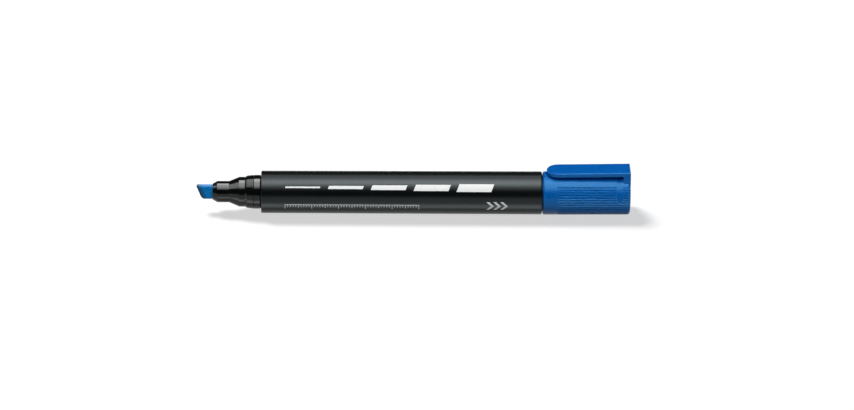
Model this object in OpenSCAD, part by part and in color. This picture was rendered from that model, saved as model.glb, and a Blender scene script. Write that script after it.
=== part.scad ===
// Permanent marker with a chisel nib, lying on its side with the cap posted on the rear end.
// Sizes are millimetres. The marker's axis runs along X from the nib to the cap, and the clip faces up.
// Lengths along the axis are counted from the barrel's nib end, and are positive towards the cap.

/* [Barrel] */
// Length of the barrel tube
barrel_length = 105.2; // [85:0.1:130]
// Outside diameter at the nib end
barrel_front_diameter = 15.9; // [15:0.1:20]
// Outside diameter at the cap end
barrel_rear_diameter = 16.2; // [15.4:0.1:20]
// Diameter of the sockets that hold the nib section and the plug
socket_diameter = 13.2; // [11:0.1:14.4]
// Depth of the socket that holds the nib section
front_socket_depth = 12; // [9:0.5:16]
// Depth of the socket that holds the plug
rear_socket_depth = 8; // [5:0.5:12]
// Width of the step that each socket ends on
socket_step = 0.4; // [0.3:0.05:0.6]
// Edge break at the barrel's nib end
barrel_front_chamfer = 0.15; // [0.05:0.05:0.5]
// Rounding of the barrel's edge at the cap end
barrel_rear_round = 0.6; // [0.2:0.1:1]
// Number of ribs that centre the reservoir in the bore
rib_count = 6; // [3:1:8]
// Height of each rib
rib_height = 0.9; // [0.5:0.1:1.2]
// Width of each rib
rib_width = 0.8; // [0.6:0.1:1.2]
// Distance from each socket's step to the ends of the ribs
rib_setback = 1; // [0.5:0.5:4]

/* [Nib section] */
// Diameter of the seats that the cap pushes onto, one on the section and one on the plug
cap_seat_diameter = 12.75; // [10.6:0.05:15.3]
// Width of the relief groove next to the barrel
relief_width = 0.45; // [0.3:0.05:0.8]
// Depth of the relief groove
relief_depth = 0.45; // [0.1:0.05:0.5]
// Length of the collar that seats the closed cap
collar_length = 2.2; // [1.5:0.1:4]
// Width of the fine line between the collar and the ring
line_width = 0.3; // [0.1:0.05:0.4]
// Depth of the fine line
line_depth = 0.15; // [0.1:0.05:0.3]
// Length of the tapered ring in front of the collar
ring_length = 2.45; // [1.5:0.05:4]
// Drop in radius along the tapered ring
ring_taper = 0.3; // [0.1:0.05:0.6]
// Length of the steep chamfer in front of the ring
step_length = 0.7; // [0.3:0.1:1.5]
// Drop in radius along the steep chamfer
step_drop = 0.45; // [0.2:0.05:0.8]
// Length of the shoulder cylinder
shoulder_length = 2.2; // [1:0.1:4]
// Length of the cone down to the nose
cone_length = 3.8; // [2:0.1:6]
// Diameter of the nose that the cap's liner seals on
nose_diameter = 8.06; // [7.2:0.01:9.7]
// Length of the nose cylinder
nose_length = 4.4; // [3:0.1:6]
// Length of the chamfer at the nose's tip
nose_chamfer_length = 1.7; // [0.8:0.1:2.5]
// Wall left round the nib's corners at the nose's tip
nose_rim = 0.17; // [0.15:0.01:0.4]
// Length of the slot in the nose that grips the nib
nib_grip_length = 10.7; // [8:0.1:12]
// Width of the shoulder that stops the reservoir's front end
reservoir_shoulder = 1.1; // [0.6:0.1:1.4]
// Distance from the barrel's nib end back to that shoulder
reservoir_start = 2; // [1:0.5:4]

/* [Nib] */
// Height of the nib's broad side
nib_height = 5.2; // [4:0.1:6]
// Thickness of the nib
nib_thickness = 2.4; // [2:0.1:2.9]
// Length that stands out of the nose, at the longest corner
nib_reach = 6.1; // [5:0.1:8]
// Slant of the writing edge from square
nib_slant = 21; // [10:1:30]
// Width of the bevels beside the writing edge
nib_bevel_width = 1.2; // [0.5:0.1:1.5]
// Depth of each bevel at the writing edge
nib_bevel_depth = 0.7; // [0.2:0.05:0.8]
// Rounding of the nib's long edges
nib_edge_round = 0.4; // [0.2:0.05:0.8]
// Rounding of the short corner of the writing edge
nib_heel_round = 1.6; // [0.3:0.1:1.8]
// Rounding of the long corner of the writing edge
nib_toe_round = 0.25; // [0.1:0.05:0.5]
// Length of the nib that stands in the reservoir
nib_insertion = 6; // [4:0.5:10]
// Length of the wedge at the nib's inner end
nib_tail_wedge = 1.6; // [0.5:0.1:2.5]
// Depth of that wedge on each broad side
nib_tail_depth = 0.7; // [0.3:0.1:0.9]

/* [Reservoir] */
// Thickness of the film round the fibre rod
film_thickness = 0.15; // [0.1:0.05:0.3]

/* [Plug] */
// Length of the spigot that carries the posted cap
spigot_length = 10.5; // [8:0.1:11]
// Width of the plug's rim that the reservoir rests against
plug_rim = 0.375; // [0.2:0.025:0.8]
// Thickness of the plug's closed end
plug_end_wall = 1.4; // [1:0.1:2]
// Rounding of the spigot's end
spigot_round = 0.8; // [0.3:0.1:1]

/* [Cap] */
// Length of the cap
cap_length = 32.7; // [29:0.1:40]
// How far the cap's mouth stands out past the barrel's edge
cap_overhang = 0.05; // [0:0.01:0.3]
// Drop in the cap's radius from the mouth to the closed end
cap_taper = 0.175; // [0:0.005:0.4]
// Depth of the bore at the mouth
cap_mouth_depth = 12; // [11.5:0.1:14]
// Thickness of the closed end
cap_end_wall = 1.4; // [1:0.1:2]
// Lead-in chamfer inside the mouth
cap_mouth_lead = 0.4; // [0.2:0.1:0.6]
// Rounding of the mouth's outer edge
cap_mouth_round = 0.5; // [0.2:0.1:0.8]
// Rounding of the closed end's edge
cap_end_round = 1; // [0.5:0.1:1.5]
// Width of the step between the mouth bore and the liner's bore
liner_step = 0.3; // [0.2:0.05:0.5]
// Wall of the liner
liner_wall = 1; // [0.7:0.1:1.1]
// Length of the liner's lead-in chamfer
liner_lead = 0.6; // [0.3:0.1:1]
// Length of the liner's press-fit rings
liner_ring_length = 2.5; // [1.5:0.1:4]

/* [Cap grip] */
// Angle from one groove to the next
groove_pitch = 7.2; // [6:0.1:10]
// Half angle of the strip without grooves under the clip
groove_free_angle = 50; // [45:1:70]
// Width of a groove
groove_width = 0.6; // [0.3:0.05:0.75]
// Depth of a groove
groove_depth = 0.27; // [0.1:0.01:0.28]
// Width of each groove's floor
groove_floor = 0.12; // [0.05:0.01:0.25]
// Distance from the cap's mouth to where the grooves start
groove_start = 5.5; // [3:0.1:8]
// Length over which a groove reaches its depth
groove_run_in = 0.5; // [0.2:0.1:1]
// Width of the smooth band in front of the clip's root
band_width = 2.3; // [1.5:0.1:3]
// Depth of the smooth band
band_depth = 0.3; // [0.26:0.04:0.3]
// Half angle that the band covers
band_half_angle = 93; // [60:1:120]
// Distance from the band to the clip's root
band_to_root = 0.3; // [0.1:0.1:1]

/* [Clip] */
// Width of the clip
clip_width = 8.8; // [7:0.1:10]
// Thickness of the clip's arm
clip_thickness = 1.5; // [1.2:0.1:2.2]
// Gap between the arm and the cap at the root
clip_root_gap = 0.95; // [0.5:0.05:1.5]
// Gap between the arm and the cap at the free end
clip_tip_gap = 0.3; // [0.1:0.02:1]
// Distance from the cap's mouth to the clip's free end
clip_tip_setback = 1.3; // [0.5:0.1:4]
// Rounding of the arm's upper edges
clip_edge_round = 0.6; // [0.2:0.1:0.9]
// Length of the root block along the cap
clip_root_length = 2.7; // [2:0.1:4]
// How far each side of the root flares out at the cap
clip_root_flare = 0.8; // [0:0.1:1]
// How far the root's neck is narrower than the arm that hides it
clip_root_tuck = 0.1; // [0.05:0.05:0.3]
// Edge break at the back of the clip
clip_back_chamfer = 0.3; // [0.1:0.1:0.6]

/* [Fits] */
// Radial clearance of pieces pressed into each other
press_clearance = 0.02; // [0.01:0.01:0.05]
// Radial clearance of the cap on its seats
cap_clearance = 0.05; // [0.02:0.01:0.1]
// Clearance round the nib in its slot
nib_clearance = 0.05; // [0.02:0.01:0.1]
// Radial clearance of the reservoir in its ribs
reservoir_clearance = 0.05; // [0.02:0.01:0.1]
// Gap between the posted cap's mouth and the barrel
cap_gap = 0.3; // [0.2:0.1:0.6]
// Parting gap between the clip's root and the cap
clip_parting = 0.06; // [0.03:0.01:0.1]

/* [Hidden] */

$fn = 96;
// Flat steps in a quarter of a small rounding
round_steps = 8;
// How far a cutting shape passes the surface that it cuts
over = 1;

barrel_front_radius = barrel_front_diameter / 2;
barrel_rear_radius = barrel_rear_diameter / 2;
socket_radius = socket_diameter / 2;
insert_radius = socket_radius - press_clearance;
bore_radius = socket_radius - socket_step;
film_radius = bore_radius - rib_height - reservoir_clearance;
core_radius = film_radius - film_thickness - press_clearance;
rear_step = barrel_length - rear_socket_depth;

seat_radius = cap_seat_diameter / 2;
nose_radius = nose_diameter / 2;
slot_height = nib_height + 2 * nib_clearance;
slot_thickness = nib_thickness + 2 * nib_clearance;
nose_tip_radius = norm([slot_height, slot_thickness]) / 2 + nose_rim;

// Places along the nib section, from the barrel to the nose
collar_back = -relief_width;
collar_front = collar_back - collar_length;
ring_back = collar_front - line_width;
ring_front = ring_back - ring_length;
shoulder_back = ring_front - step_length;
shoulder_front = shoulder_back - shoulder_length;
nose_back = shoulder_front - cone_length;
nose_front = nose_back - nose_length;
nose_face = nose_front - nose_chamfer_length;
nib_tip = nose_face - nib_reach;
nib_tail = reservoir_start + nib_insertion;
tail_bore_radius = film_radius + reservoir_clearance;
cavity_radius = tail_bore_radius - reservoir_shoulder;
ring_front_radius = seat_radius - ring_taper;
shoulder_radius = ring_front_radius - step_drop;

spigot_end = barrel_length + spigot_length;

cap_mouth = barrel_length + cap_gap;
cap_end = cap_mouth + cap_length;
cap_mouth_radius = barrel_rear_radius + cap_overhang;
cap_end_radius = cap_mouth_radius - cap_taper;
mouth_bore_radius = seat_radius + cap_clearance;
// The mouth's edges share its wall, so neither takes more than a third of it
mouth_edge_limit = (cap_mouth_radius - mouth_bore_radius) / 3;
mouth_round = min(cap_mouth_round, mouth_edge_limit);
mouth_lead = min(cap_mouth_lead, mouth_edge_limit);
liner_bore_radius = mouth_bore_radius - liner_step;
liner_ring_radius = liner_bore_radius - press_clearance;
seal_radius = nose_radius + cap_clearance;
liner_front = cap_mouth + cap_mouth_depth;
liner_back = cap_end - cap_end_wall;

root_front = cap_end - clip_root_length;
band_back = root_front - band_to_root;
band_front = band_back - band_width;

// The clip's arm slopes towards the barrel from its root to its free end
arm_root_height = cap_end_radius + clip_root_gap;
clip_tip = cap_mouth + clip_tip_setback;
arm_tip_height = cap_radius_at(clip_tip) + clip_tip_gap;
arm_drop = arm_root_height - arm_tip_height;
arm_slope = atan(arm_drop / (cap_end - clip_tip));
arm_length = norm([arm_drop, cap_end - clip_tip]);
clip_foot_height = sqrt(pow(cap_end_radius - cap_end_round, 2) - pow(clip_width / 2 + clip_root_flare, 2));

overall_middle = (cap_end + nib_tip) / 2;
// The marker lies on the widest of its rings
axis_height = max(barrel_front_radius, barrel_rear_radius, cap_radius_at(cap_mouth + mouth_round));

function barrel_radius_at(place) =
    barrel_front_radius + (barrel_rear_radius - barrel_front_radius) * place / barrel_length;

function cap_radius_at(place) =
    cap_mouth_radius + (cap_end_radius - cap_mouth_radius) * (place - cap_mouth) / cap_length;

// Points of a round corner from one direction to another, about a centre
function round_corner(centre, radius, from, to) = [
    for (step = [0 : round_steps])
        let (angle = from + (to - from) * step / round_steps)
        centre + radius * [cos(angle), sin(angle)],
];

// Place of the nib's writing edge at a height above the axis, with both its corners left sharp
function writing_edge_at(height) =
    nib_tip - nib_toe_round * ((1 + sin(nib_slant)) / cos(nib_slant) - 1)
    + (nib_height / 2 - height) * tan(nib_slant);

// Centre of a rounding that touches the writing edge, at a height above the axis
function writing_edge_centre(height, radius) =
    [height, writing_edge_at(height) + radius / cos(nib_slant)];

// Outline of the cap from its axis at the mouth to its axis at the closed end, grown by a gap
function cap_outline(gap) = concat(
    [[0, cap_mouth - gap]],
    round_corner(
        [cap_radius_at(cap_mouth + mouth_round) - mouth_round, cap_mouth + mouth_round],
        mouth_round + gap, -90, 0
    ),
    round_corner(
        [cap_radius_at(cap_end - cap_end_round) - cap_end_round, cap_end - cap_end_round],
        cap_end_round + gap, 0, 90
    ),
    [[0, cap_end + gap]]
);

// Stands shapes drawn round the local Z axis along the marker: local X points up, local Y to the front
module along_axis() {
    translate([-overall_middle, 0, axis_height])
        rotate([0, 90, 0])
            rotate([0, 0, 180])
                children();
}

// Turns an outline of [radius, place] points round the marker's axis
module turned(outline) {
    rotate_extrude()
        polygon(outline);
}

// Extrudes an outline of [height, place] points to both sides of the clip's plane
module side_profile(outline, width) {
    rotate([90, 0, 0])
        linear_extrude(width, center = true)
            polygon(outline);
}

module bore(radius, from, to) {
    translate([0, 0, from])
        cylinder(r = radius, h = to - from);
}

module barrel() {
    rear_round_place = barrel_length - barrel_rear_round;
    outline = concat(
        [
            [0, 0],
            [barrel_front_radius - barrel_front_chamfer, 0],
            [barrel_radius_at(barrel_front_chamfer), barrel_front_chamfer],
        ],
        round_corner(
            [barrel_radius_at(rear_round_place) - barrel_rear_round, rear_round_place],
            barrel_rear_round, 0, 90
        ),
        [[0, barrel_length]]
    );
    color("#1c1e1f")
        along_axis() {
            difference() {
                turned(outline);
                bore(bore_radius, -over, barrel_length + over);
                bore(socket_radius, -over, front_socket_depth);
                bore(socket_radius, rear_step, barrel_length + over);
            }
            barrel_ribs();
        }
}

// Ribs along the bore, rooted in the barrel's wall, whose inner faces hold the reservoir
module barrel_ribs() {
    rib_face = film_radius + reservoir_clearance;
    rib_root = (bore_radius + barrel_front_radius) / 2;
    for (rib = [0 : rib_count - 1])
        rotate([0, 0, 360 * rib / rib_count])
            translate([rib_face, -rib_width / 2, front_socket_depth + rib_setback])
                cube([rib_root - rib_face, rib_width, rear_step - front_socket_depth - 2 * rib_setback]);
}

module front_section() {
    outline = [
        [0, nose_face],
        [nose_tip_radius, nose_face],
        [nose_radius, nose_front],
        [nose_radius, nose_back],
        [shoulder_radius, shoulder_front],
        [shoulder_radius, shoulder_back],
        [ring_front_radius, ring_front],
        [seat_radius, ring_back],
        [seat_radius - line_depth, (ring_back + collar_front) / 2],
        [seat_radius, collar_front],
        [seat_radius, collar_back],
        [seat_radius - relief_depth, 0],
        [insert_radius, 0],
        [insert_radius, front_socket_depth],
        [0, front_socket_depth],
    ];
    color("#17181a")
        along_axis()
            difference() {
                turned(outline);
                translate([-slot_height / 2, -slot_thickness / 2, nose_face - over])
                    cube([slot_height, slot_thickness, nib_grip_length + 2 * over]);
                bore(cavity_radius, nose_face + nib_grip_length, reservoir_start + over);
                bore(tail_bore_radius, reservoir_start, front_socket_depth + over);
            }
}

// Rounded bar of the nib, from its tip to its inner end
module nib_bar() {
    height = nib_height / 2 - nib_edge_round;
    thickness = nib_thickness / 2 - nib_edge_round;
    corners = [[height, thickness], [-height, thickness], [-height, -thickness], [height, -thickness]];
    outline = [
        for (corner = [0 : 3])
            each round_corner(corners[corner], nib_edge_round, 90 * corner, 90 * corner + 90),
    ];
    translate([0, 0, nib_tip])
        linear_extrude(nib_tail - nib_tip)
            polygon(outline);
}

// Cuts a bevel on both broad sides of the nib, next to an edge that lies along the local X axis
module edge_bevels(width, depth) {
    slope = depth / width;
    outline = [
        [nib_thickness / 2 - depth - slope * over, -over],
        [nib_thickness / 2 + slope * over, width + over],
        [nib_thickness / 2 + slope * over, -over],
    ];
    for (side = [0, 1])
        mirror([0, side, 0])
            rotate([90, 0, 90])
                linear_extrude(2 * nib_height, center = true)
                    polygon(outline);
}

module chisel_nib() {
    top = nib_height / 2;
    edge_middle = writing_edge_at(0);
    heel = writing_edge_centre(nib_heel_round - top, nib_heel_round);
    toe = writing_edge_centre(top - nib_toe_round, nib_toe_round);
    side_view = concat(
        [[-top - over, heel[1]]],
        round_corner(heel, nib_heel_round, 180, 270 - nib_slant),
        round_corner(toe, nib_toe_round, 270 - nib_slant, 360),
        [[top + over, toe[1]], [top + over, nib_tail + over], [-top - over, nib_tail + over]]
    );
    color("#0660a5")
        along_axis()
            difference() {
                intersection() {
                    nib_bar();
                    side_profile(side_view, nib_thickness + 2 * over);
                }
                translate([0, 0, edge_middle])
                    rotate([0, nib_slant, 0])
                        edge_bevels(nib_bevel_width, nib_bevel_depth);
                translate([0, 0, nib_tail])
                    mirror([0, 0, 1])
                        edge_bevels(nib_tail_wedge, nib_tail_depth);
            }
}

module ink_reservoir() {
    color("#0a3c7d")
        along_axis()
            difference() {
                bore(core_radius, reservoir_start, rear_step);
                translate([-slot_height / 2, -slot_thickness / 2, reservoir_start - over])
                    cube([slot_height, slot_thickness, nib_insertion + nib_clearance + over]);
            }
}

module reservoir_film() {
    color("#dfe6ea")
        along_axis()
            difference() {
                bore(film_radius, reservoir_start, rear_step);
                bore(film_radius - film_thickness, reservoir_start - over, rear_step + over);
            }
}

module rear_plug() {
    outline = concat(
        [
            [0, rear_step],
            [insert_radius, rear_step],
            [insert_radius, barrel_length],
            [seat_radius, barrel_length],
        ],
        round_corner([seat_radius - spigot_round, spigot_end - spigot_round], spigot_round, 0, 90),
        [[0, spigot_end]]
    );
    color("#0b57a4")
        along_axis()
            difference() {
                turned(outline);
                bore(film_radius - plug_rim, rear_step - over, spigot_end - plug_end_wall);
            }
}

// Grooves with sloped sides on the cap's grip, cut from their start to the closed end
module grip_grooves() {
    groove_count = floor((360 - 2 * groove_free_angle) / groove_pitch) + 1;
    first_angle = 180 - groove_pitch * (groove_count - 1) / 2;
    start = cap_mouth + groove_start;
    slope_start = start - groove_run_in;
    radius = cap_radius_at(start);
    groove_clear = groove_depth / 4;
    run_in = [
        [radius + groove_depth, slope_start],
        [radius - 2 * groove_depth, start + 2 * groove_run_in],
        [radius - 2 * groove_depth, cap_end + over],
        [radius + groove_depth, cap_end + over],
    ];
    section_half = groove_width / 2 + (groove_width - groove_floor) / 2 * groove_clear / groove_depth;
    section = [
        [-groove_depth, groove_floor / 2],
        [groove_clear, section_half],
        [groove_clear, -section_half],
        [-groove_depth, -groove_floor / 2],
    ];
    for (groove = [0 : groove_count - 1])
        rotate([0, 0, first_angle + groove_pitch * groove])
            intersection() {
                side_profile(run_in, 3 * groove_width);
                translate([cap_radius_at(slope_start), 0, slope_start])
                    rotate([0, atan((cap_end_radius - cap_mouth_radius) / cap_length), 0])
                        linear_extrude(cap_length)
                            polygon(section);
            }
}

// Smooth band round the cap in front of the clip's root, with rounded ends
module smooth_band() {
    floor_radius = cap_radius_at(band_back) - band_depth;
    middle = (band_front + band_back) / 2;
    end_angle = band_half_angle - asin(band_width / 2 / cap_radius_at(middle));
    rotate([0, 0, -end_angle])
        rotate_extrude(angle = 2 * end_angle)
            translate([floor_radius, band_front])
                square([band_depth + over, band_width]);
    for (side = [-1, 1])
        rotate([0, 0, side * end_angle])
            translate([floor_radius, 0, middle])
                rotate([0, 90, 0])
                    cylinder(d = band_width, h = band_depth + over);
}

module cap_shell() {
    color("#0b5cab")
        along_axis()
            difference() {
                turned(cap_outline(0));
                bore(mouth_bore_radius, cap_mouth - over, liner_front);
                bore(liner_bore_radius, cap_mouth - over, liner_back);
                translate([0, 0, cap_mouth - over])
                    cylinder(
                        r1 = mouth_bore_radius + mouth_lead + over,
                        r2 = mouth_bore_radius,
                        h = mouth_lead + over
                    );
                grip_grooves();
                smooth_band();
            }
}

module cap_liner() {
    sleeve_radius = seal_radius + liner_wall;
    outline = [
        [seal_radius + liner_lead, liner_front],
        [liner_ring_radius, liner_front],
        [liner_ring_radius, liner_front + liner_ring_length],
        [sleeve_radius, liner_front + liner_ring_length],
        [sleeve_radius, liner_back - liner_ring_length],
        [liner_ring_radius, liner_back - liner_ring_length],
        [liner_ring_radius, liner_back],
        [seal_radius, liner_back],
        [seal_radius, liner_front + liner_lead],
    ];
    color("#e6e8e4")
        along_axis()
            turned(outline);
}

// Arm of the clip, sloped towards the barrel, with rounded upper edges and a half-round free end
module clip_arm() {
    half = concat(
        [[clip_width / 2, 0]],
        round_corner(
            [clip_width / 2 - clip_edge_round, clip_thickness - clip_edge_round],
            clip_edge_round, 0, 90
        )
    );
    last = len(half) - 1;
    section = concat(
        [for (point = half) [point[1], point[0]]],
        [for (step = [0 : last]) [half[last - step][1], -half[last - step][0]]]
    );
    translate([0, 0, clip_width / 2]) {
        linear_extrude(arm_length - clip_width / 2 + over)
            polygon(section);
        rotate([0, 90, 0])
            rotate([0, 0, -90])
                rotate_extrude(angle = 180)
                    polygon(concat([[0, 0]], half, [[0, clip_thickness]]));
    }
}

// Block that carries the arm, flared where it stands on the cap
module clip_root() {
    foot_half = clip_width / 2 + clip_root_flare;
    neck_half = clip_width / 2 - clip_root_tuck;
    neck = clip_thickness / 2;
    foot = clip_foot_height - arm_root_height;
    translate([0, 0, arm_length - clip_root_length])
        linear_extrude(clip_root_length + over)
            polygon([[foot, foot_half], [neck, neck_half], [neck, -neck_half], [foot, -foot_half]]);
}

module pocket_clip() {
    back_width = 2 * (clip_width + clip_root_flare);
    edge_break = clip_back_chamfer * sqrt(2);
    color("#0b5cab")
        along_axis()
            difference() {
                translate([arm_tip_height, 0, clip_tip])
                    rotate([0, arm_slope, 0]) {
                        clip_arm();
                        clip_root();
                    }
                turned(cap_outline(clip_parting));
                translate([0, -back_width / 2, cap_end])
                    cube([2 * arm_root_height, back_width, 2 * over]);
                translate([arm_root_height + clip_thickness, 0, cap_end])
                    rotate([0, 45, 0])
                        cube([edge_break, back_width, edge_break], center = true);
            }
}

barrel();
front_section();
chisel_nib();
ink_reservoir();
reservoir_film();
rear_plug();
cap_shell();
cap_liner();
pocket_clip();
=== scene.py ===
"""Looks of a permanent marker with its cap posted on the rear end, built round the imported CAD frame."""

import math

import bmesh
import bpy
from bpy.props import FloatProperty, FloatVectorProperty, IntProperty, PointerProperty
from mathutils import Matrix, Vector


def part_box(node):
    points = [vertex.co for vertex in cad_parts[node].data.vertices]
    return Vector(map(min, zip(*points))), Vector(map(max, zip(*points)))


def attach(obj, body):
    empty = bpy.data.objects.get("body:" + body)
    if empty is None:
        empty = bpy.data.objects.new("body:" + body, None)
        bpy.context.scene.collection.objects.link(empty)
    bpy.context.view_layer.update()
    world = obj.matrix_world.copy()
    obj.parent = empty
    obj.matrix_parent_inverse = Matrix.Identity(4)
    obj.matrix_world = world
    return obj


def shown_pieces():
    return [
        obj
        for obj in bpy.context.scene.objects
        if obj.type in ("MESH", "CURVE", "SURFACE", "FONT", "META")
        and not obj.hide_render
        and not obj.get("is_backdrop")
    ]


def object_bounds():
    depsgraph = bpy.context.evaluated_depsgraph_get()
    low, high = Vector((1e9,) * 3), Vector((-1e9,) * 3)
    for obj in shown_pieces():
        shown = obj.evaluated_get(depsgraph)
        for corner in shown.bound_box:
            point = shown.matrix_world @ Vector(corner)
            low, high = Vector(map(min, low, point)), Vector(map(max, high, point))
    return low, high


bl_info = {
    "name": "Chisel marker",
    "version": (1, 0, 0),
    "blender": (4, 5, 0),
    "location": "3D View > Sidebar > Marker",
    "description": "Finishes, barrel print and studio of a permanent marker with a chisel nib",
    "category": "Object",
}

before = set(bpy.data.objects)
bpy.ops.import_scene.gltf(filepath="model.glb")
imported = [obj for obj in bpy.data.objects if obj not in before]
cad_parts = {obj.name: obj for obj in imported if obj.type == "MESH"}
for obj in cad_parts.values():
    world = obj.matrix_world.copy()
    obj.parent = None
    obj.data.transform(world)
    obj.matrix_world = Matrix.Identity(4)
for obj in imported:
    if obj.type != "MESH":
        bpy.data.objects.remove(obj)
cad_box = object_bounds()

MM = 0.001
BARREL_LOW, BARREL_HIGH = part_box("barrel")
AXIS_HEIGHT = (BARREL_LOW.z + BARREL_HIGH.z) / 2


def colour_setting(name, description, default):
    """A colour that a user can change."""
    return FloatVectorProperty(
        name=name, description=description, default=default, subtype="COLOR", size=3, min=0, max=1
    )


def share_setting(name, description, default):
    """A number from none to all."""
    return FloatProperty(
        name=name, description=description, default=default, subtype="FACTOR", min=0, max=1
    )


def level_setting(name, description, default):
    """A number with no upper end, such as a brightness."""
    return FloatProperty(name=name, description=description, default=default, min=0)


def count_setting(name, description, default):
    """A small whole number."""
    return IntProperty(name=name, description=description, default=default, min=1, max=8)


def length_setting(name, description, default):
    """A length in metres."""
    return FloatProperty(
        name=name,
        description=description,
        default=default,
        min=0,
        subtype="DISTANCE",
        unit="LENGTH",
        precision=5,
    )


def angle_setting(name, description, degrees):
    """An angle, whose default is given in degrees."""
    return FloatProperty(
        name=name, description=description, default=math.radians(degrees), subtype="ANGLE", unit="ROTATION"
    )


class BarrelSettings(bpy.types.PropertyGroup):
    """Finish of the barrel tube."""

    colour: colour_setting("Colour", "Colour of the barrel's plastic", (0.002, 0.0026, 0.0028))
    worn_and_highlit_edge_colour: colour_setting("Edge colour", "Paler colour of rubbed edges", (0.012, 0.0126, 0.0128))
    gloss_tint: colour_setting("Gloss tint", "Tint of the plastic's satin gloss", (0.86, 0.97, 1.0))
    refraction: level_setting("Refraction", "Refractive index of the plastic", 1.36)
    roughness: share_setting("Roughness", "How far the satin finish spreads a reflection", 0.27)
    grain: share_setting("Grain", "Depth of the fine moulded grain", 0.12)


class PrintSettings(bpy.types.PropertyGroup):
    """Marks printed on the barrel: a row of strokes, a scale below it and chevrons at the cap end.

    Heights run round the barrel from the middle line of its near side.
    """

    colour: colour_setting("Colour", "Colour of the printing ink", (0.88, 0.89, 0.89))
    thickness: length_setting("Thickness", "How far the ink stands out of the barrel", 0.025 * MM)
    start: length_setting("Start", "Where strokes and scale begin, from the barrel's nib end", 9 * MM)
    stroke_count: count_setting("Strokes", "Number of line-width strokes", 5)
    stroke_length: length_setting("Stroke length", "Length of each stroke", 13 * MM)
    stroke_gap: length_setting("Stroke gap", "Gap from one stroke to the next", 3 * MM)
    stroke_width: length_setting("Stroke width", "Width of the broadest stroke", 3 * MM)
    stroke_height: length_setting("Stroke height", "Height of the strokes' own middle", 5.4 * MM)
    stroke_slant: share_setting("Stroke slant", "How far a stroke leans for its width", 0.38)
    scale_length: length_setting("Scale length", "Length of the scale", 50 * MM)
    scale_drop: length_setting("Scale drop", "Depth of the scale below the middle line", 1.6 * MM)
    scale_line: length_setting("Scale line", "Width of the scale's lines", 0.24 * MM)
    chevron_count: count_setting("Chevrons", "Number of chevrons", 3)
    chevron_place: length_setting("Chevron place", "Where chevrons begin, from the barrel's cap end", 21 * MM)
    chevron_step: length_setting("Chevron step", "Distance from one chevron to the next", 2.6 * MM)
    chevron_line: length_setting("Chevron line", "Width of a chevron's line", 1.1 * MM)
    chevron_height: length_setting("Chevron height", "Height of a chevron below the middle line", 3.6 * MM)


class SectionSettings(bpy.types.PropertyGroup):
    """Finish of the stepped section that holds the nib."""

    colour: colour_setting("Colour", "Colour of the section's plastic", (0.0015, 0.0018, 0.002))
    worn_and_highlit_edge_colour: colour_setting("Edge colour", "Paler colour of rubbed edges", (0.0075, 0.0078, 0.008))
    refraction: level_setting("Refraction", "Refractive index of the plastic", 1.36)
    roughness: share_setting("Roughness", "How far the gloss finish spreads a reflection", 0.14)
    grain: share_setting("Grain", "Depth of the fine moulded grain", 0.05)


class NibSettings(bpy.types.PropertyGroup):
    """Finish of the felt nib, the fibre rod behind it and the film round the rod."""

    ink_colour: colour_setting("Ink colour", "Colour of the ink-soaked felt", (0.0003, 0.21, 0.58))
    # Painted shade between the fibres; much darker, it is also the painted shade along the writing edge.
    painted_shade_colour: colour_setting("Deep colour", "Colour between the fibres", (0.0002, 0.13, 0.4))
    gloss_tint: colour_setting("Gloss tint", "Tint of the wet felt's dim gloss", (0.4, 0.85, 1.0))
    sheen_tint: colour_setting("Sheen tint", "Tint of the loose fibres' sheen", (0.2, 0.7, 1.0))
    fibre_width: length_setting("Fibre width", "Width of the fibres in the felt", 0.16 * MM)
    edge_slant: angle_setting("Edge slant", "Slant of the writing edge", 21)
    # The darker strip is painted shade on the writing edge's bevel, which faces away from the light.
    edge_width: length_setting("Edge width", "Width of the darker strip along the writing edge", 2.4 * MM)
    film_colour: colour_setting("Film colour", "Colour of the clear film", (0.8, 0.84, 0.87))
    # Painted shade of the film's creases, laid in broad random patches.
    painted_crease_shade_colour: colour_setting("Crease colour", "Colour of the film's creases", (0.7, 0.75, 0.8))
    film_opacity: share_setting("Film opacity", "How much the film hides what it wraps", 0.6)


class CapSettings(bpy.types.PropertyGroup):
    """Finish of the cap, its clip and the plug, all moulded from one blue plastic."""

    colour: colour_setting("Colour", "Colour of the blue plastic", (0.0003, 0.117, 0.47))
    # On the cap this paler edge colour is a painted highlight on its rims, clip edges and grip ridges.
    worn_and_highlit_edge_colour: colour_setting("Edge colour", "Paler colour of rubbed edges", (0.03, 0.45, 1.0))
    gloss_tint: colour_setting("Gloss tint", "Tint of the plastic's satin gloss", (0.28, 0.78, 1.0))
    refraction: level_setting("Refraction", "Refractive index of the plastic", 1.5)
    roughness: share_setting("Roughness", "How far the satin finish spreads a reflection", 0.3)
    grain: share_setting("Grain", "Depth of the fine moulded grain", 0.06)


class LinerSettings(bpy.types.PropertyGroup):
    """Finish of the natural plastic sleeve in the cap."""

    colour: colour_setting("Colour", "Colour of the natural plastic", (0.78, 0.8, 0.76))
    worn_and_highlit_edge_colour: colour_setting("Edge colour", "Paler colour of rubbed edges", (0.86, 0.88, 0.84))
    roughness: share_setting("Roughness", "How far the waxy finish spreads a reflection", 0.42)
    grain: share_setting("Grain", "Depth of the fine moulded grain", 0.06)


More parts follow.
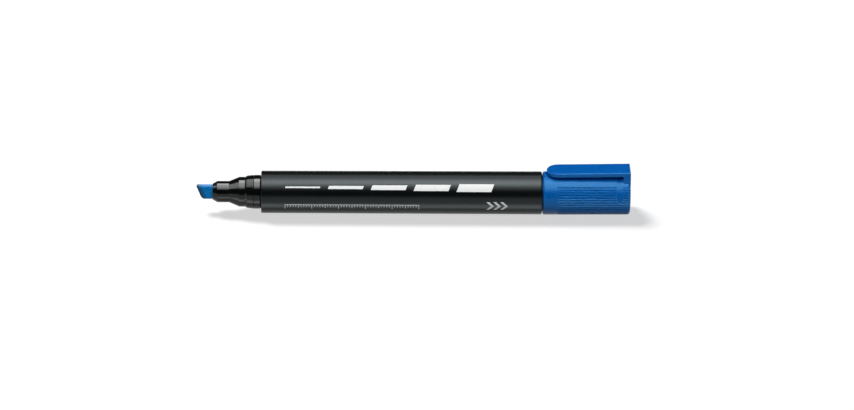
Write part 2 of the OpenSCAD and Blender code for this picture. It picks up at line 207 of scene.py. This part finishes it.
class StageSettings(bpy.types.PropertyGroup):
    """Camera, floor and lights."""

    azimuth: angle_setting("Azimuth", "Turn of the camera about the marker", -0.8)
    elevation: angle_setting("Elevation", "Height of the camera above the horizon", 26.5)
    roll: angle_setting("Roll", "Tilt of the camera about its own line of sight", 0.58)
    distance: length_setting("Distance", "Distance of the camera from the marker", 1.54)
    lens: FloatProperty(
        name="Lens", description="Focal length of the camera", default=173, min=1, max=500, unit="CAMERA"
    )
    aim_right: length_setting("Aim right", "How far right of the marker's middle the camera aims", 5.2 * MM)
    aim_down: length_setting("Aim down", "How far below the marker's middle the camera aims", 4.7 * MM)
    floor_colour: colour_setting("Floor colour", "Colour of the floor", (0.5, 0.5, 0.5))
    floor_glow: share_setting("Floor glow", "White that the floor adds to the light on it", 0.62)
    arc_radius: length_setting("Arc radius", "Distance of the overhead panels from the marker", 1.0)
    arc_width: length_setting("Arc width", "Width of the overhead panels along the marker", 0.7)
    arc_light: level_setting("Arc light", "Brightness of the overhead panels", 5)
    key_light: level_setting("Key light", "Brightness of the floor's key lamp", 26)
    sky_light: share_setting("Sky light", "Brightness of the dim surroundings", 0.02)


class MarkerSettings(bpy.types.PropertyGroup):
    """All settings of the marker."""

    barrel: PointerProperty(type=BarrelSettings, name="Barrel", description="Finish of the barrel")
    print: PointerProperty(type=PrintSettings, name="Print", description="Marks printed on the barrel")
    section: PointerProperty(type=SectionSettings, name="Nib section", description="Finish of the section")
    nib: PointerProperty(type=NibSettings, name="Nib", description="Finish of the nib, rod and film")
    cap: PointerProperty(type=CapSettings, name="Cap", description="Finish of the cap, clip and plug")
    liner: PointerProperty(type=LinerSettings, name="Liner", description="Finish of the cap's liner")
    stage: PointerProperty(type=StageSettings, name="Stage", description="Camera, floor and lights")


def settings():
    """The marker's settings in the scene."""
    return bpy.context.scene.chisel_marker


def add_node(tree, kind, options=None, **inputs):
    """Adds a node with options set. Inputs are named with _ for a space, and take a value or a socket."""
    node = tree.nodes.new(kind)
    for name, value in (options or {}).items():
        setattr(node, name, value)
    for name, value in inputs.items():
        connect(tree, value, node.inputs[name.replace("_", " ")])
    return node


def connect(tree, value, socket):
    """Links a socket, or sets a plain value."""
    if isinstance(value, bpy.types.NodeSocket):
        tree.links.new(value, socket)
    else:
        socket.default_value = value


def set_sockets(shader, **values):
    """Sets plain values on a shader's own sockets, named with _ for a space."""
    for name, value in values.items():
        shader.inputs[name.replace("_", " ")].default_value = value


def calculate(tree, operation, first, second):
    """Works out a number from two numbers."""
    node = add_node(tree, "ShaderNodeMath", {"operation": operation})
    connect(tree, first, node.inputs[0])
    connect(tree, second, node.inputs[1])
    return node.outputs[0]


def mix_colours(tree, share, first, second):
    """Goes from the first colour to the second by a share."""
    node = add_node(tree, "ShaderNodeMix", {"data_type": "RGBA"})
    connect(tree, share, node.inputs["Factor"])
    colour_inputs = [socket for socket in node.inputs if socket.type == "RGBA"]
    connect(tree, first, colour_inputs[0])
    connect(tree, second, colour_inputs[1])
    return next(socket for socket in node.outputs if socket.type == "RGBA")


def spread(tree, value, low, high):
    """Turns a number from 0 to 1 into one from low to high."""
    node = add_node(tree, "ShaderNodeMapRange", Value=value, To_Min=low, To_Max=high)
    return node.outputs["Result"]


def with_alpha(colour, shade=1):
    """A colour as a socket takes it, darkened by a shade."""
    return (*(shade * channel for channel in colour), 1)


def new_group(name, inputs, outputs):
    """Makes a node group from the names of its sockets, with defaults of inputs and kinds of outputs."""
    tree = bpy.data.node_groups.new(name, "ShaderNodeTree")
    for socket_name, default in inputs.items():
        socket = tree.interface.new_socket(name=socket_name, in_out="INPUT", socket_type="NodeSocketFloat")
        socket.default_value = default
    for socket_name, kind in outputs.items():
        tree.interface.new_socket(name=socket_name, in_out="OUTPUT", socket_type=kind)
    entry = tree.nodes.new("NodeGroupInput")
    leave = tree.nodes.new("NodeGroupOutput")
    return tree, entry.outputs, leave.inputs


def stretched_place(tree, stretch):
    """The object's own coordinates in millimetres, drawn out along the marker."""
    place = add_node(tree, "ShaderNodeTexCoord").outputs["Object"]
    along = calculate(tree, "DIVIDE", 1 / MM, stretch)
    scale = add_node(tree, "ShaderNodeCombineXYZ", X=along, Y=1 / MM, Z=1 / MM).outputs[0]
    node = add_node(tree, "ShaderNodeVectorMath", {"operation": "MULTIPLY"})
    connect(tree, place, node.inputs[0])
    connect(tree, scale, node.inputs[1])
    return node.outputs[0]


def noise(tree, place, size, detail):
    """Noise from 0 to 1 whose spots have a size in millimetres."""
    scale = calculate(tree, "DIVIDE", 1, size)
    node = add_node(tree, "ShaderNodeTexNoise", Vector=place, Scale=scale, Detail=detail, Roughness=0.55)
    return node.outputs["Fac"]


def moulded_grain_group():
    """Fine moulded grain, with broad patches where the finish changes a little."""
    tree, inputs, outputs = new_group(
        "Moulded grain",
        {"Grain size": 0.18, "Stretch": 1.0, "Patch size": 9.0},
        {"Height": "NodeSocketFloat", "Patches": "NodeSocketFloat"},
    )
    place = stretched_place(tree, inputs["Stretch"])
    connect(tree, noise(tree, place, inputs["Grain size"], 3), outputs["Height"])
    connect(tree, noise(tree, place, inputs["Patch size"], 4), outputs["Patches"])
    return tree


def edge_wear_and_highlight_group():
    """Mask of edges, paler as rubbed wear on the black and natural pieces and as a painted highlight on the
    blue ones, and the normal of an edge that is rounded off.
    """
    tree, inputs, outputs = new_group(
        "Edge wear and painted highlight",
        {"Reach": 0.15 * MM, "Contrast": 3.0},
        {"Mask": "NodeSocketFloat", "Normal": "NodeSocketVector"},
    )
    rounded = add_node(tree, "ShaderNodeBevel", {"samples": 6}, Radius=inputs["Reach"]).outputs["Normal"]
    surface = add_node(tree, "ShaderNodeNewGeometry").outputs["Normal"]
    facing = add_node(tree, "ShaderNodeVectorMath", {"operation": "DOT_PRODUCT"})
    connect(tree, rounded, facing.inputs[0])
    connect(tree, surface, facing.inputs[1])
    turned = calculate(tree, "SUBTRACT", 1, facing.outputs["Value"])
    mask = add_node(tree, "ShaderNodeMath", {"operation": "MULTIPLY", "use_clamp": True})
    connect(tree, turned, mask.inputs[0])
    connect(tree, inputs["Contrast"], mask.inputs[1])
    connect(tree, mask.outputs[0], outputs["Mask"])
    connect(tree, rounded, outputs["Normal"])
    return tree


# Felt: size of its loose tufts in fibre widths, share of the straight fibres in its height,
# and the heights at which the shade between the fibres is full and gone
TUFT_RATIO = 2.5
STRAIGHT_SHARE = 0.65
SHADE_LOW = 0.36
SHADE_HIGH = 0.6


def felt_fibre_group():
    """Fibres that run along the marker: their height, and the shade between them."""
    tree, inputs, outputs = new_group(
        "Felt fibres",
        {"Fibre width": 0.16, "Length ratio": 9.0},
        {"Height": "NodeSocketFloat", "Shade": "NodeSocketFloat"},
    )
    along = stretched_place(tree, inputs["Length ratio"])
    fibres = noise(tree, along, inputs["Fibre width"], 2)
    tuft_size = calculate(tree, "MULTIPLY", inputs["Fibre width"], TUFT_RATIO)
    tufts = noise(tree, stretched_place(tree, 1), tuft_size, 4)
    fibre_height = calculate(tree, "MULTIPLY", fibres, STRAIGHT_SHARE)
    tuft_height = calculate(tree, "MULTIPLY", tufts, 1 - STRAIGHT_SHARE)
    height = calculate(tree, "ADD", fibre_height, tuft_height)
    connect(tree, height, outputs["Height"])
    shade = add_node(tree, "ShaderNodeMapRange", Value=height, From_Min=SHADE_LOW, From_Max=SHADE_HIGH)
    connect(tree, shade.outputs["Result"], outputs["Shade"])
    return tree


EFFECTS = {
    "Moulded grain": moulded_grain_group,
    "Edge wear and painted highlight": edge_wear_and_highlight_group,
    "Felt fibres": felt_fibre_group,
}


def effect(tree, name, **inputs):
    """Places one of the shared effects in a material, and makes it on its first use."""
    group = bpy.data.node_groups.get(name) or EFFECTS[name]()
    return add_node(tree, "ShaderNodeGroup", {"node_tree": group}, **inputs).outputs


def new_material(name):
    """A material with a Principled shader, its node tree and that shader."""
    material = bpy.data.materials.new(name)
    material.use_nodes = True
    return material, material.node_tree, material.node_tree.nodes["Principled BSDF"]


def bump(tree, height, strength, distance, normal):
    """Normal of a surface with small heights on it."""
    node = add_node(
        tree, "ShaderNodeBump", Height=height, Strength=strength, Distance=distance, Normal=normal
    )
    return node.outputs["Normal"]


# Moulded plastic: shade of its dull patches, change of its roughness there, and depth of full grain
PATCH_SHADE = 0.86
ROUGHNESS_CHANGE = 0.05
GRAIN_DEPTH = 0.02 * MM


def moulded_plastic(name, look, grain_size, edge_reach, stretch=1, contrast=3.0):
    """Plastic of a piece's settings, with fine grain, patches of changing gloss and paler edges: rubbed wear
    on the black and natural pieces, a painted highlight on the blue ones.

    The grain's size is in millimetres.
    """
    material, tree, shader = new_material(name)
    surface = effect(tree, "Moulded grain", Grain_size=grain_size, Stretch=stretch)
    edges = effect(tree, "Edge wear and painted highlight", Reach=edge_reach, Contrast=contrast)
    patch = with_alpha(look.colour, PATCH_SHADE)
    dull = mix_colours(tree, surface["Patches"], patch, with_alpha(look.colour))
    # Paler edges are rubbed wear on black and natural plastic, and a painted highlight on the rims and ridges
    # of blue plastic.
    worn_and_highlit = mix_colours(tree, edges["Mask"], dull, with_alpha(look.worn_and_highlit_edge_colour))
    connect(tree, worn_and_highlit, shader.inputs["Base Color"])
    smoothest = look.roughness - ROUGHNESS_CHANGE
    roughest = look.roughness + ROUGHNESS_CHANGE
    connect(tree, spread(tree, surface["Patches"], smoothest, roughest), shader.inputs["Roughness"])
    normal = bump(tree, surface["Height"], look.grain, GRAIN_DEPTH, edges["Normal"])
    connect(tree, normal, shader.inputs["Normal"])
    return material, shader


def dress(material, *nodes):
    """Gives a material to CAD nodes."""
    for name in nodes:
        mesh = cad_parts[name].data
        mesh.materials.clear()
        mesh.materials.append(material)


class FinishBarrel(bpy.types.Operator):
    """Give the barrel its satin black plastic"""

    bl_idname = "chisel_marker.finish_barrel"
    bl_label = "Finish barrel"

    def execute(self, context):
        look = settings().barrel
        material, shader = moulded_plastic(
            "satin_black_plastic", look, grain_size=0.2, edge_reach=0.12 * MM, stretch=3
        )
        set_sockets(shader, IOR=look.refraction, Specular_Tint=with_alpha(look.gloss_tint))
        dress(material, "barrel")
        return {"FINISHED"}


# Longest step of a printed mark round the barrel, so that it follows the curve
MARK_STEP = 0.25 * MM
# Distance between the scale's ticks, and the heights of each tenth tick, each fifth and all the rest
TICK_STEP = 1 * MM
TICK_HEIGHTS = ((10, 1.9 * MM), (5, 1.4 * MM), (1, 0.9 * MM))
# Printing ink: shade and roughness of its uneven film
THIN_INK_SHADE = 0.9
INK_ROUGHNESS = (0.38, 0.55)


def widest_points():
    """Place along the barrel and radius of the widest point of each half."""
    points = [
        (vertex.co.x, math.hypot(vertex.co.y, vertex.co.z - AXIS_HEIGHT))
        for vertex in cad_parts["barrel"].data.vertices
    ]
    front = max((point for point in points if point[0] < 0), key=lambda point: point[1])
    rear = max((point for point in points if point[0] >= 0), key=lambda point: point[1])
    return front, rear


def wrapped_mark(mesh, radius_at, corner, length, width, slant, thickness):
    """Adds a slanted bar of ink to a mesh, wrapped round the barrel.

    The corner is its place along the barrel and its height round it, above the middle of the near side.
    """
    steps = max(1, math.ceil(width / MARK_STEP))
    rows = []
    for step in range(steps + 1):
        height = corner[1] + width * step / steps
        shift = slant * width * step / steps
        row = []
        for place in (corner[0] + shift, corner[0] + length + shift):
            radius = radius_at(place)
            angle = height / radius
            for level in (radius - thickness, radius + thickness):
                across = -level * math.cos(angle)
                up = AXIS_HEIGHT + level * math.sin(angle)
                row.append(mesh.verts.new((place, across, up)))
        rows.append(row)
    for (in_a, out_a, in_b, out_b), (next_in_a, next_out_a, next_in_b, next_out_b) in zip(rows, rows[1:]):
        mesh.faces.new((out_a, out_b, next_out_b, next_out_a))
        mesh.faces.new((in_b, in_a, next_in_a, next_in_b))
        mesh.faces.new((in_a, out_a, next_out_a, next_in_a))
        mesh.faces.new((out_b, in_b, next_in_b, next_out_b))
    for in_a, out_a, in_b, out_b in (rows[0], rows[-1]):
        mesh.faces.new((in_a, in_b, out_b, out_a))


class PrintBarrel(bpy.types.Operator):
    """Print the barrel's marks: strokes of growing width, a plain scale and chevrons towards the cap"""

    bl_idname = "chisel_marker.print_barrel"
    bl_label = "Print barrel"

    def execute(self, context):
        look = settings().print
        mesh = bmesh.new()
        (front, front_radius), (rear, rear_radius) = widest_points()
        taper = (rear_radius - front_radius) / (rear - front)

        def radius_at(place):
            return front_radius + taper * (place - front)

        def mark(place, height, length, width, slant=0):
            wrapped_mark(mesh, radius_at, (place, height), length, width, slant, look.thickness)

        self.strokes(look, mark)
        self.scale(look, mark)
        self.chevrons(look, mark)
        bmesh.ops.recalc_face_normals(mesh, faces=mesh.faces)
        data = bpy.data.meshes.new("barrel_print")
        mesh.to_mesh(data)
        mesh.free()
        piece = bpy.data.objects.new("barrel_print", data)
        context.scene.collection.objects.link(piece)
        data.materials.append(self.ink(look))
        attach(piece, "barrel")
        return {"FINISHED"}

    def strokes(self, look, mark):
        """A row of slanted strokes of growing width."""
        for stroke in range(look.stroke_count):
            width = look.stroke_width * (stroke + 1) / look.stroke_count
            place = BARREL_LOW.x + look.start + stroke * (look.stroke_length + look.stroke_gap)
            mark(place, look.stroke_height - width / 2, look.stroke_length, width, look.stroke_slant)

    def scale(self, look, mark):
        """A plain scale, with ticks that hang from a line."""
        start = BARREL_LOW.x + look.start - look.scale_line / 2
        for tick in range(round(look.scale_length / TICK_STEP) + 1):
            height = next(height for every, height in TICK_HEIGHTS if tick % every == 0)
            mark(start + tick * TICK_STEP, -look.scale_drop - height, look.scale_line, height)
        mark(start, -look.scale_drop, look.scale_length + look.scale_line, look.scale_line)

    def chevrons(self, look, mark):
        """Chevrons that point to the cap, each of two bars that lean by half a right angle."""
        half = look.chevron_height / 2
        for chevron in range(look.chevron_count):
            place = BARREL_HIGH.x - look.chevron_place + chevron * look.chevron_step
            mark(place, -2 * half, look.chevron_line, half, slant=1)
            mark(place + half, -half, look.chevron_line, half, slant=-1)

    def ink(self, look):
        """Opaque white printing ink with a slightly uneven film."""
        material, tree, shader = new_material("white_print_ink")
        surface = effect(tree, "Moulded grain", Grain_size=0.12, Patch_size=2.0)
        thin = with_alpha(look.colour, THIN_INK_SHADE)
        colour = mix_colours(tree, surface["Patches"], thin, with_alpha(look.colour))
        connect(tree, colour, shader.inputs["Base Color"])
        connect(tree, spread(tree, surface["Height"], *INK_ROUGHNESS), shader.inputs["Roughness"])
        return material


class FinishNibSection(bpy.types.Operator):
    """Give the stepped nib section its gloss black plastic"""

    bl_idname = "chisel_marker.finish_nib_section"
    bl_label = "Finish nib section"

    def execute(self, context):
        look = settings().section
        material, shader = moulded_plastic("gloss_black_plastic", look, grain_size=0.5, edge_reach=0.1 * MM)
        set_sockets(shader, IOR=look.refraction)
        dress(material, "front_section")
        return {"FINISHED"}


# Felt and film: roughness of each, depth and strength of the felt's fibres, and the painted shade of its
# writing edge
FELT_ROUGHNESS = (0.35, 0.5)
FILM_ROUGHNESS = (0.1, 0.22)
FIBRE_DEPTH = 0.08 * MM
FIBRE_STRENGTH = 0.5
PAINTED_EDGE_SHADE = 0.03


class FinishNib(bpy.types.Operator):
    """Give the nib its ink-soaked felt, and the rod behind it its fibres and film"""

    bl_idname = "chisel_marker.finish_nib"
    bl_label = "Finish nib"

    def execute(self, context):
        look = settings().nib
        dress(self.felt("ink_soaked_felt", look, coarseness=1, shaded=True), "chisel_nib")
        dress(self.felt("ink_soaked_fibre", look, coarseness=2, shaded=False), "ink_reservoir")
        dress(self.film(look), "reservoir_film")
        return {"FINISHED"}

    def ink_left(self, tree, look):
        """Share of the ink's colour that is left towards the slanted writing edge, where painted shade
        darkens it.
        """
        low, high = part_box("chisel_nib")
        place = add_node(tree, "ShaderNodeTexCoord").outputs["Object"]
        place = add_node(tree, "ShaderNodeSeparateXYZ", Vector=place).outputs
        drop = calculate(tree, "SUBTRACT", high.z, place["Z"])
        lean = calculate(tree, "MULTIPLY", drop, math.tan(look.edge_slant))
        edge = calculate(tree, "ADD", low.x, lean)
        depth = calculate(tree, "SUBTRACT", place["X"], edge)
        share = add_node(tree, "ShaderNodeMapRange", Value=depth, From_Max=look.edge_width)
        return share.outputs["Result"]

    def felt(self, name, look, coarseness, shaded):
        """Felt with fibres along the marker, with painted shade between them and, on the nib, along the
        writing edge.
        """
        material, tree, shader = new_material(name)
        fibres = effect(tree, "Felt fibres", Fibre_width=coarseness * look.fibre_width / MM)
        edges = effect(tree, "Edge wear and painted highlight", Reach=0.3 * MM, Contrast=1.5)
        # Painted shade between the fibres, where their height is low.
        fibre_shade = with_alpha(look.painted_shade_colour)
        colour = mix_colours(tree, fibres["Shade"], fibre_shade, with_alpha(look.ink_colour))
        if shaded:
            # Painted shade along the slanted writing edge.
            dark = with_alpha(look.painted_shade_colour, PAINTED_EDGE_SHADE)
            colour = mix_colours(tree, self.ink_left(tree, look), dark, colour)
        connect(tree, colour, shader.inputs["Base Color"])
        connect(tree, spread(tree, fibres["Height"], *FELT_ROUGHNESS), shader.inputs["Roughness"])
        normal = bump(tree, fibres["Height"], FIBRE_STRENGTH, FIBRE_DEPTH, edges["Normal"])
        connect(tree, normal, shader.inputs["Normal"])
        set_sockets(shader, Specular_IOR_Level=0.2, Specular_Tint=with_alpha(look.gloss_tint))
        set_sockets(shader, Sheen_Weight=0.08, Sheen_Roughness=0.45, Sheen_Tint=with_alpha(look.sheen_tint))
        return material

    def film(self, look):
        """Clear film, a little wrinkled, darker in broad patches as painted shade of its creases."""
        material, tree, shader = new_material("clear_film")
        surface = effect(tree, "Moulded grain", Grain_size=1.5, Stretch=6.0)
        crease = with_alpha(look.painted_crease_shade_colour)
        colour = mix_colours(tree, surface["Patches"], crease, with_alpha(look.film_colour))
        connect(tree, colour, shader.inputs["Base Color"])
        connect(tree, spread(tree, surface["Height"], *FILM_ROUGHNESS), shader.inputs["Roughness"])
        set_sockets(shader, Alpha=look.film_opacity)
        return material


class FinishCap(bpy.types.Operator):
    """Give the cap, its clip and the plug their satin blue plastic"""

    bl_idname = "chisel_marker.finish_cap"
    bl_label = "Finish cap"

    def execute(self, context):
        look = settings().cap
        # The strong edge mask and pale edge colour paint highlights on the cap's rims, clip edges and grip
        # ridges.
        material, shader = moulded_plastic(
            "satin_blue_plastic", look, grain_size=0.16, edge_reach=0.06 * MM, contrast=12.0
        )
        set_sockets(shader, IOR=look.refraction, Specular_Tint=with_alpha(look.gloss_tint))
        dress(material, "cap_shell", "pocket_clip", "rear_plug")
        return {"FINISHED"}


class FinishLiner(bpy.types.Operator):
    """Give the cap's liner its natural plastic"""

    bl_idname = "chisel_marker.finish_liner"
    bl_label = "Finish liner"

    def execute(self, context):
        look = settings().liner
        material, shader = moulded_plastic("natural_plastic", look, grain_size=0.3, edge_reach=0.1 * MM)
        set_sockets(
            shader, Subsurface_Weight=0.3, Subsurface_Radius=(1, 0.95, 0.85), Subsurface_Scale=1 * MM
        )
        dress(material, "cap_liner")
        return {"FINISHED"}


# Widths of panels along the marker, as shares of the arc's width
NARROW = 0.46
FULL = 1
WIDE = 2.6
# Panels in an arc round the marker: name, first and last height in degrees from the near horizon,
# width, brightness as a share of the arc's, and the group of pieces that it lights
ARC_PANELS = (
    ("near_panel", 43, 58, FULL, 0.33, "barrel"),
    ("near_top_panel", 58, 68, FULL, 0.9, "barrel"),
    ("top_panel", 68, 92, FULL, 1.65, "barrel"),
    ("far_top_panel", 92, 104, FULL, 0.9, "barrel"),
    ("far_panel", 104, 130, FULL, 0.38, "barrel"),
    ("section_wide_panel", 55, 123, FULL, 1.15, "section"),
    ("section_near_panel", 48, 55, NARROW, 0.5, "section"),
    ("section_top_panel", 66, 95, NARROW, 0.8, "section"),
    ("section_far_panel", 95, 123, NARROW, 1.6, "section"),
    ("print_panel", 0, 40, WIDE, 0.1, "print_and_nib"),
    ("nib_panel", 138, 166, FULL, 0.8, "nib"),
    ("cap_low_panel", 36, 48, FULL, 0.35, "blue"),
    ("cap_near_panel", 48, 70, FULL, 0.85, "blue_and_print"),
    ("cap_top_panel", 70, 98, FULL, 1.05, "blue_and_print"),
    ("cap_far_panel", 98, 118, FULL, 0.35, "blue_and_print"),
)
# Panels beyond the two ends: name, direction, brightness as a share of the arc's, and the group
END_PANELS = (
    ("cone_panel", (-0.64, 0, 0.77), 1.0, "section"),
    ("nib_end_panel", (-0.86, 0.4, 0.3), 0.2, "all"),
    ("cap_end_panel", (0.86, 0.4, 0.3), 0.2, "all"),
)
END_PANEL_SIZE = (0.7, 0.5)
# The blue pieces, with the liner that sits inside the cap
BLUE_PIECES = ("cap_shell", "cap_liner", "pocket_clip", "rear_plug", "chisel_nib")
LIT_PIECES = {
    "barrel": ("barrel", "ink_reservoir", "reservoir_film"),
    "section": ("front_section",),
    "barrel_and_section": ("barrel", "front_section"),
    "blue": BLUE_PIECES,
    "blue_and_print": (*BLUE_PIECES, "barrel_print"),
    "print_and_nib": ("barrel_print", "chisel_nib"),
    "nib": ("chisel_nib",),
}
# A strip lamp lies along the near side of the barrel and the nib section, and shines upwards
STRIP_PLACE = Vector((-12 * MM, -12.5 * MM, 0.2 * MM))
STRIP_SIZE = (130 * MM, 6 * MM)
STRIP_SHARE = 0.39
# The key lamp stands behind the marker on the left, so that the shadow falls to the front right
KEY_PLACE = Vector((-1.166, 1.102, 2.534))
KEY_SIZE = (1.08, 1.08)
# The floor reaches this far each way, and lies just under the marker
FLOOR_REACH = 3.0
FLOOR_GAP = 0.02 * MM


class SetStage(bpy.types.Operator):
    """Set the floor, the lights and the camera"""

    bl_idname = "chisel_marker.set_stage"
    bl_label = "Set stage"

    def execute(self, context):
        look = settings().stage
        scene = context.scene
        scene.view_settings.view_transform = "Standard"
        self.floor(scene, look)
        self.lights(scene, look)
        self.surroundings(scene, look)
        self.camera(scene, look)
        return {"FINISHED"}

    def floor(self, scene, look):
        """A wide floor that glows white to the camera and in reflections, and keeps the shadow."""
        mesh = bpy.data.meshes.new("studio_floor")
        corners = [
            (across * FLOOR_REACH, along * FLOOR_REACH, 0)
            for across, along in ((-1, -1), (1, -1), (1, 1), (-1, 1))
        ]
        mesh.from_pydata(corners, [], [(0, 1, 2, 3)])
        floor = bpy.data.objects.new("studio_floor", mesh)
        floor.location.z = cad_box[0].z - FLOOR_GAP
        scene.collection.objects.link(floor)
        material, tree, shader = new_material("studio_floor")
        set_sockets(shader, Base_Color=with_alpha(look.floor_colour), Roughness=0.9, Specular_IOR_Level=0)
        path = add_node(tree, "ShaderNodeLightPath").outputs
        seen = calculate(tree, "MAXIMUM", path["Is Camera Ray"], path["Is Glossy Ray"])
        seen = calculate(tree, "MAXIMUM", seen, path["Is Transmission Ray"])
        glow = calculate(tree, "MULTIPLY", seen, look.floor_glow)
        connect(tree, glow, shader.inputs["Emission Strength"])
        set_sockets(shader, Emission_Color=(1, 1, 1, 1))
        mesh.materials.append(material)
        floor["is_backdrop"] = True

    def lights(self, scene, look):
        """Panels round the marker, each for a group of pieces, and a key lamp for the floor."""
        lit = {"all": self.collection("lit_all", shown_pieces())}
        for group, names in LIT_PIECES.items():
            lit[group] = self.collection(f"lit_{group}", [scene.objects[name] for name in names])
        for name, first, last, width, share, group in ARC_PANELS:
            middle = math.radians((first + last) / 2)
            place = look.arc_radius * Vector((0, -math.cos(middle), math.sin(middle)))
            length = 2 * look.arc_radius * math.tan(math.radians(last - first) / 2)
            size = (width * look.arc_width, length)
            self.panel(scene, name, place, size, share * look.arc_light, lit[group])
        for name, direction, share, group in END_PANELS:
            place = look.arc_radius * Vector(direction)
            self.panel(scene, name, place, END_PANEL_SIZE, share * look.arc_light, lit[group])
        strip_light = STRIP_SHARE * look.arc_light
        strip_lit = lit["barrel_and_section"]
        self.panel(scene, "strip_lamp", STRIP_PLACE, STRIP_SIZE, strip_light, strip_lit, Vector((0, 0, -1)))
        ground = self.collection("lit_floor", [scene.objects["studio_floor"]])
        self.panel(scene, "key_lamp", KEY_PLACE, KEY_SIZE, look.key_light, ground)

    def collection(self, name, pieces):
        """A collection that a lamp can light apart from the rest."""
        group = bpy.data.collections.new(name)
        for piece in pieces:
            group.objects.link(piece)
        return group

    def panel(self, scene, name, place, size, brightness, lit, back=None):
        """A flat lamp that lights a collection, of a brightness where 1 is white, and faces the marker.

        Where a direction is given for its back, it faces the other way instead.
        """
        lamp = bpy.data.lights.new(name, "AREA")
        lamp.shape = "RECTANGLE"
        lamp.size, lamp.size_y = size
        lamp.energy = brightness * math.pi * size[0] * size[1]
        panel = bpy.data.objects.new(name, lamp)
        turn = (back or place).to_track_quat("Z", "Y").to_matrix().to_4x4()
        panel.matrix_world = Matrix.Translation(place) @ turn
        panel.visible_camera = False
        panel.light_linking.receiver_collection = lit
        scene.collection.objects.link(panel)

    def surroundings(self, scene, look):
        """Dim white surroundings."""
        scene.world = bpy.data.worlds.new("studio")
        scene.world.use_nodes = True
        background = scene.world.node_tree.nodes["Background"]
        set_sockets(background, Color=(1, 1, 1, 1), Strength=look.sky_light)

    def camera(self, scene, look):
        """A camera at the photograph's angle."""
        data = bpy.data.cameras.new("camera")
        data.lens = look.lens
        data.sensor_width = 36
        data.clip_start, data.clip_end = 0.01, 20
        camera = bpy.data.objects.new("camera", data)
        scene.collection.objects.link(camera)
        away = Vector((
            math.sin(look.azimuth) * math.cos(look.elevation),
            -math.cos(look.azimuth) * math.cos(look.elevation),
            math.sin(look.elevation),
        ))
        turn = away.to_track_quat("Z", "Y").to_matrix()
        middle = Vector(((cad_box[0].x + cad_box[1].x) / 2, 0, AXIS_HEIGHT))
        aim = middle + turn.col[0] * look.aim_right - turn.col[1] * look.aim_down
        roll = Matrix.Rotation(look.roll, 4, "Z")
        camera.matrix_world = Matrix.Translation(aim + away * look.distance) @ turn.to_4x4() @ roll
        scene.camera = camera


OPERATORS = (FinishBarrel, PrintBarrel, FinishNibSection, FinishNib, FinishCap, FinishLiner, SetStage)


class MarkerPanel(bpy.types.Panel):
    """Lists the steps that finish the marker, with their settings"""

    bl_idname = "VIEW3D_PT_chisel_marker"
    bl_label = "Chisel marker"
    bl_space_type = "VIEW_3D"
    bl_region_type = "UI"
    bl_category = "Marker"

    def draw(self, context):
        for operator in OPERATORS:
            self.layout.operator(operator.bl_idname)
        for group in settings().bl_rna.properties:
            if group.type == "POINTER" and group.identifier != "rna_type":
                box = self.layout.box()
                box.label(text=group.name)
                look = getattr(settings(), group.identifier)
                for name in look.__annotations__:
                    box.prop(look, name)


CLASSES = (
    BarrelSettings,
    PrintSettings,
    SectionSettings,
    NibSettings,
    CapSettings,
    LinerSettings,
    StageSettings,
    MarkerSettings,
    *OPERATORS,
    MarkerPanel,
)


def register():
    for cls in CLASSES:
        bpy.utils.register_class(cls)
    bpy.types.Scene.chisel_marker = PointerProperty(type=MarkerSettings)


def unregister():
    del bpy.types.Scene.chisel_marker
    for cls in reversed(CLASSES):
        bpy.utils.unregister_class(cls)


def main():
    register()
    bpy.ops.chisel_marker.finish_barrel()
    bpy.ops.chisel_marker.print_barrel()
    bpy.ops.chisel_marker.finish_nib_section()
    bpy.ops.chisel_marker.finish_nib()
    bpy.ops.chisel_marker.finish_cap()
    bpy.ops.chisel_marker.finish_liner()
    bpy.ops.chisel_marker.set_stage()


if __name__ == "__main__":
    main()
